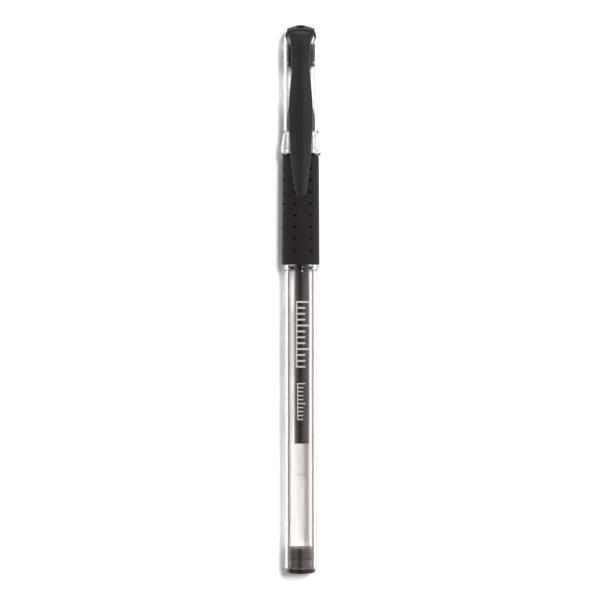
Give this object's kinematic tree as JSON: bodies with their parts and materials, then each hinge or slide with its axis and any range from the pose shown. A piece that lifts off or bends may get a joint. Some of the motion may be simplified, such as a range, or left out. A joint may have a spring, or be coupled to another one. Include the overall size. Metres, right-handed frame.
{
  "type": "gel pen",
  "caption": "Stick gel pen with a clear barrel and cap, black clip, dimpled rubber grip and a smoke tail plug, for handwriting.",
  "frame": {"origin": "centre of the tail plug's flat end face", "axes": "+Z along the pen's axis from the tail to the crown of the cap, -Y towards the pocket clip, +X to the right seen from the clip side"},
  "size_m": [0.0112, 0.0135, 0.1495],
  "materials": {
    "clear_barrel": "gloss clear plastic",
    "clear_cap": "gloss clear plastic",
    "grip_rubber": "matt",
    "smoke_plug": "gloss translucent smoke brown",
    "black_gloss": "satin gloss",
    "dark_plastic": "satin",
    "refill_plastic": "translucent",
    "ink": "wet",
    "grease": "wet",
    "natural_plastic": "satin",
    "tip_metal": "turned nickel silver",
    "ball_metal": "polished carbide",
    "seal_rubber": "matt"
  },
  "bodies": {
    "pen_body": {"barrel": "clear_barrel", "grip": "grip_rubber", "tail_plug": "smoke_plug", "refill_tube": "refill_plastic", "tip_holder": "natural_plastic", "writing_tip": "tip_metal", "ink_column": "ink"},
    "nose": {"nose_cone": "black_gloss"},
    "ink_end": {"ink_follower": "grease"},
    "writing_ball": {"ball": "ball_metal"},
    "cap": {"cap_tube": "clear_cap", "cap_crown": "black_gloss", "inner_cap": "dark_plastic", "tip_seal": "seal_rubber"},
    "cap_clip": {"clip": "black_gloss"}
  },
  "joints": [
    {"name": "cap_pull", "type": "slide", "parent": "pen_body", "child": "cap", "axis": [0, 0, 1], "range_m": [0, 0.045]},
    {"name": "clip_flex", "type": "hinge", "parent": "cap", "child": "cap_clip", "pos_m": [0, -0.00292, 0.14725], "axis": [-1, 0, 0], "range_deg": [0, 4], "stiffness_Nm_per_rad": 2},
    {"name": "nose_turn", "type": "hinge", "parent": "pen_body", "child": "nose", "pos_m": [0, 0, 0.12], "axis": [0, 0, 1], "continuous": true},
    {"name": "ball_roll", "type": "hinge", "parent": "pen_body", "child": "writing_ball", "pos_m": [0, 0, 0.13875], "axis": [1, 0, 0], "continuous": true},
    {"name": "follower_travel", "type": "slide", "parent": "pen_body", "child": "ink_end", "axis": [0, 0, 1], "range_m": [0, 0.08], "deforming": ["ink_column"]}
  ]
}
